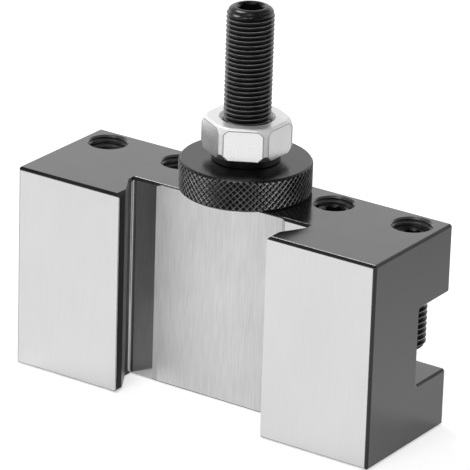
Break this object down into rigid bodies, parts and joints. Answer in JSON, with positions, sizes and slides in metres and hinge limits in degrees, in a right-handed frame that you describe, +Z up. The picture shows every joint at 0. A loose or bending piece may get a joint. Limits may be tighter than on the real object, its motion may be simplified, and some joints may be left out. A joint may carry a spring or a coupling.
{
  "type": "lathe tool holder",
  "caption": "Quick-change lathe tool holder: a steel block with a ground dovetail way, a tool slot behind, set screws that clamp the shank, and a height stud with a knurled nut and lock nut.",
  "frame": {"origin": "centre of the block's base, halfway along the block and halfway from its ground front to its slotted back", "axes": "+X along the block and the tool slot, to the right as seen from the ground front; +Y from the ground front with the dovetail way to the slotted back; +Z up, along the way, the screws and the stud"},
  "size_m": [0.089, 0.0333, 0.085],
  "materials": {
    "block_steel": "black oxide, with the front and the way ground bright",
    "blackened_steel": "black oxide",
    "plated_steel": "bright plated"
  },
  "bodies": {
    "holder": {"holder_block": "block_steel", "height_stud": "blackened_steel"},
    "adjusting_nut": {"adjusting_nut": "blackened_steel"},
    "lock_nut": {"lock_nut": "plated_steel"},
    "clamp_screw_1": {"clamp_screw_1": "blackened_steel"},
    "clamp_screw_2": {"clamp_screw_2": "blackened_steel"},
    "clamp_screw_3": {"clamp_screw_3": "blackened_steel"},
    "clamp_screw_4": {"clamp_screw_4": "blackened_steel"}
  },
  "joints": [
    {"name": "adjusting_nut_height", "type": "slide", "parent": "holder", "child": "adjusting_nut", "axis": [0, 0, 1], "range_m": [0, 0.018]},
    {"name": "lock_nut_release", "type": "slide", "parent": "adjusting_nut", "child": "lock_nut", "axis": [0, 0, 1], "range_m": [0, 0.004]},
    {"name": "clamp_screw_1_travel", "type": "slide", "parent": "holder", "child": "clamp_screw_1", "axis": [0, 0, 1], "range_m": [-0.0039, 0.0125]},
    {"name": "clamp_screw_2_travel", "type": "slide", "parent": "holder", "child": "clamp_screw_2", "axis": [0, 0, 1], "range_m": [-0.0041, 0.0123]},
    {"name": "clamp_screw_3_travel", "type": "slide", "parent": "holder", "child": "clamp_screw_3", "axis": [0, 0, 1], "range_m": [-0.0057, 0.0107]},
    {"name": "clamp_screw_4_travel", "type": "slide", "parent": "holder", "child": "clamp_screw_4", "axis": [0, 0, 1], "range_m": [-0.0052, 0.0112]}
  ]
}
